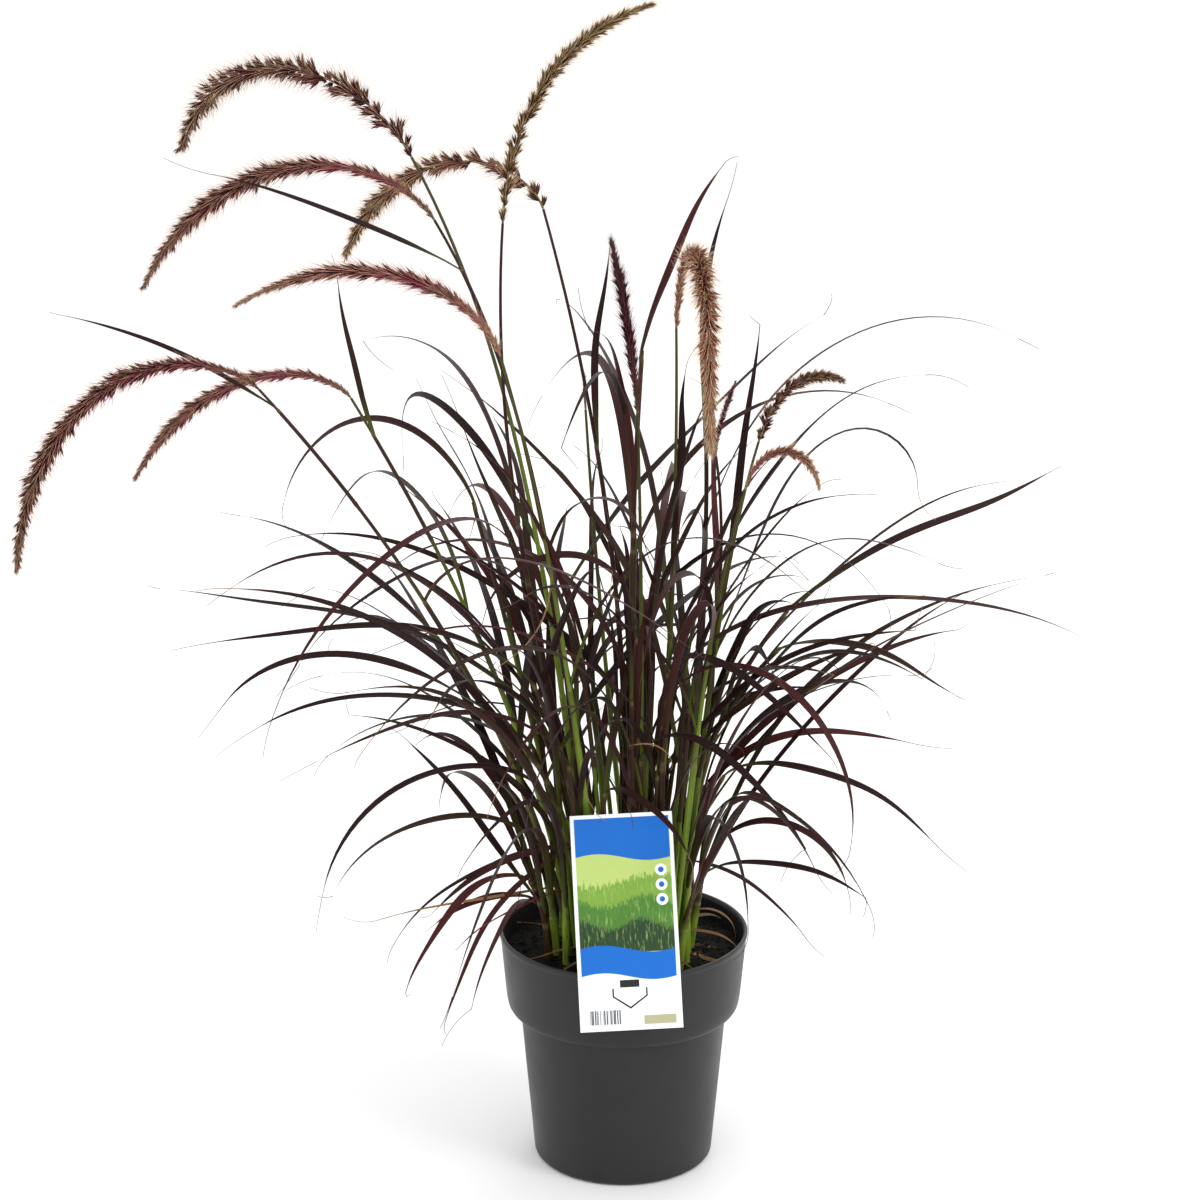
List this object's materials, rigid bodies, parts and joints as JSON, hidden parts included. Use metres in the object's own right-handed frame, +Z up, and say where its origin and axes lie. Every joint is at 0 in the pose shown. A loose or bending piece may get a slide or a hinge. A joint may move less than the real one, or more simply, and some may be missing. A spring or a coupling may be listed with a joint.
{
  "type": "potted ornamental grass",
  "caption": "Dwarf purple fountain grass in a round nursery pot, with arching dark blades, bottlebrush plumes on slim stems and a plain plant label on the rim.",
  "frame": {"origin": "middle of the flat underside of the pot", "axes": "+Z up along the pot's axis, -Y to the front, where the label hangs, +X to the right seen from the front"},
  "size_m": [0.8132, 0.7074, 0.9327],
  "materials": {
    "pot": "satin",
    "potting_mix": "matte",
    "label": "satin",
    "leaf_and_stem": "satin",
    "plume": "matte",
    "plume_tan": "matte",
    "plume_dusky": "matte"
  },
  "bodies": {
    "root": {"pot": "pot", "soil": "potting_mix", "label": "label", "culm_01": "leaf_and_stem", "plume_01": "plume", "culm_02": "leaf_and_stem", "plume_02": "plume", "culm_03": "leaf_and_stem", "plume_03": "plume_tan", "culm_04": "leaf_and_stem", "plume_04": "plume_tan", "culm_05": "leaf_and_stem", "plume_05": "plume", "culm_06": "leaf_and_stem", "plume_06": "plume", "culm_07": "leaf_and_stem", "plume_07": "plume", "culm_08": "leaf_and_stem", "plume_08": "plume_dusky", "culm_09": "leaf_and_stem", "plume_09": "plume_tan", "culm_10": "leaf_and_stem", "plume_10": "plume_dusky", "culm_11": "leaf_and_stem", "plume_11": "plume", "culm_12": "leaf_and_stem", "plume_12": "plume_tan", "culm_13": "leaf_and_stem", "plume_13": "plume_dusky", "shoot_01": "leaf_and_stem", "shoot_02": "leaf_and_stem", "shoot_03": "leaf_and_stem", "shoot_04": "leaf_and_stem", "shoot_05": "leaf_and_stem", "shoot_06": "leaf_and_stem", "shoot_07": "leaf_and_stem", "shoot_08": "leaf_and_stem", "shoot_09": "leaf_and_stem", "shoot_10": "leaf_and_stem", "shoot_11": "leaf_and_stem", "shoot_12": "leaf_and_stem", "shoot_13": "leaf_and_stem", "shoot_14": "leaf_and_stem", "shoot_15": "leaf_and_stem", "shoot_16": "leaf_and_stem", "shoot_17": "leaf_and_stem", "shoot_18": "leaf_and_stem", "shoot_19": "leaf_and_stem", "shoot_20": "leaf_and_stem", "shoot_21": "leaf_and_stem", "shoot_22": "leaf_and_stem", "shoot_23": "leaf_and_stem", "shoot_24": "leaf_and_stem", "shoot_25": "leaf_and_stem", "shoot_26": "leaf_and_stem", "shoot_27": "leaf_and_stem", "shoot_28": "leaf_and_stem", "shoot_29": "leaf_and_stem", "shoot_30": "leaf_and_stem", "shoot_31": "leaf_and_stem"}
  },
  "joints": []
}
